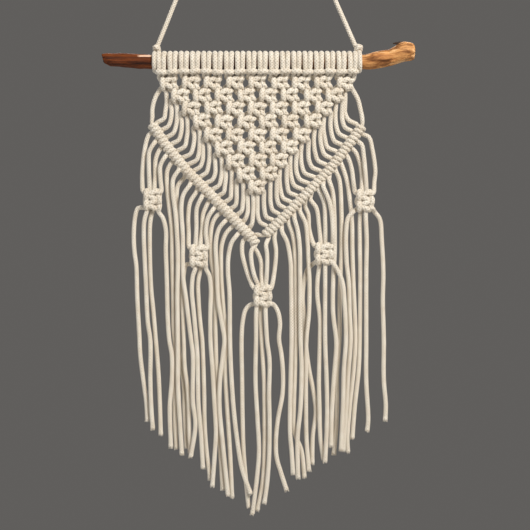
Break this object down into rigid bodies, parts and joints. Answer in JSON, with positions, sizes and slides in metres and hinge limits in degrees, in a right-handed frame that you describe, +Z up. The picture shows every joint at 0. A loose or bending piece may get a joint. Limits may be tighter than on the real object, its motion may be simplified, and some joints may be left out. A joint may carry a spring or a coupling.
{
  "type": "wall hanging",
  "caption": "Macrame wall hanging knotted from cotton cord on a driftwood branch, with a pointed net, gather knots and a long fringe, hung by a loop of cord.",
  "frame": {"origin": "where the hook bears inside the hanging loop, at the top of the hanger cord", "axes": "+Z up, +X along the branch to the viewer's right, +Y towards the wall"},
  "size_m": [0.3151, 0.0234, 0.691],
  "materials": {
    "driftwood": "weathered, matt",
    "cotton_cord": "undyed braided cotton, matt"
  },
  "bodies": {
    "hanger": {"hanger_cord": "cotton_cord", "hanger_knot_left": "cotton_cord", "hanger_knot_right": "cotton_cord"},
    "branch": {"branch": "driftwood"},
    "net": {"larks_heads": "cotton_cord", "knot_row_1": "cotton_cord", "knot_row_2": "cotton_cord", "knot_row_3": "cotton_cord", "knot_row_4": "cotton_cord", "knot_row_5": "cotton_cord", "knot_row_6": "cotton_cord", "knot_row_7": "cotton_cord", "knot_row_8": "cotton_cord", "knot_row_9": "cotton_cord", "edge_strands_left": "cotton_cord", "edge_strands_right": "cotton_cord", "band_left": "cotton_cord", "band_right": "cotton_cord"},
    "left_fringe": {"gather_knot_a": "cotton_cord", "gather_knot_b": "cotton_cord", "tail_02": "cotton_cord", "tail_03": "cotton_cord", "tail_04": "cotton_cord", "tail_05": "cotton_cord", "tail_06": "cotton_cord", "tail_07": "cotton_cord", "tail_08": "cotton_cord", "tail_09": "cotton_cord", "tail_10": "cotton_cord", "tail_11": "cotton_cord", "tail_12": "cotton_cord", "tail_13": "cotton_cord", "tail_14": "cotton_cord", "tail_15": "cotton_cord", "tail_16": "cotton_cord", "tail_17": "cotton_cord"},
    "right_fringe": {"gather_knot_d": "cotton_cord", "gather_knot_e": "cotton_cord", "tail_21": "cotton_cord", "tail_22": "cotton_cord", "tail_23": "cotton_cord", "tail_24": "cotton_cord", "tail_25": "cotton_cord", "tail_26": "cotton_cord", "tail_27": "cotton_cord", "tail_28": "cotton_cord", "tail_29": "cotton_cord", "tail_30": "cotton_cord", "tail_31": "cotton_cord", "tail_32": "cotton_cord", "tail_33": "cotton_cord", "tail_34": "cotton_cord", "tail_35": "cotton_cord"},
    "tip_tassel": {"gather_knot_c": "cotton_cord", "tail_18": "cotton_cord", "tail_01": "cotton_cord", "tail_36": "cotton_cord", "tail_19": "cotton_cord", "tail_20": "cotton_cord"}
  },
  "joints": [
    {"name": "branch_turn", "type": "hinge", "parent": "hanger", "child": "branch", "pos_m": [0, 0, -0.236], "axis": [-1, 0, 0], "range_deg": [-45, 45]},
    {"name": "net_swing", "type": "hinge", "parent": "branch", "child": "net", "pos_m": [0, 0, -0.236], "axis": [-1, 0, 0], "range_deg": [-60, 60]},
    {"name": "left_fringe_fold", "type": "hinge", "parent": "net", "child": "left_fringe", "pos_m": [-0.101, 0, -0.3], "axis": [-0.651, 0, 0.759], "range_deg": [-30, 30]},
    {"name": "right_fringe_fold", "type": "hinge", "parent": "net", "child": "right_fringe", "pos_m": [0.112, 0, -0.302], "axis": [-0.6728, 0, -0.7398], "range_deg": [-30, 30]},
    {"name": "tip_tassel_swing", "type": "hinge", "parent": "net", "child": "tip_tassel", "pos_m": [0.008, 0, -0.422], "axis": [-1, 0, 0], "range_deg": [-45, 45]}
  ]
}
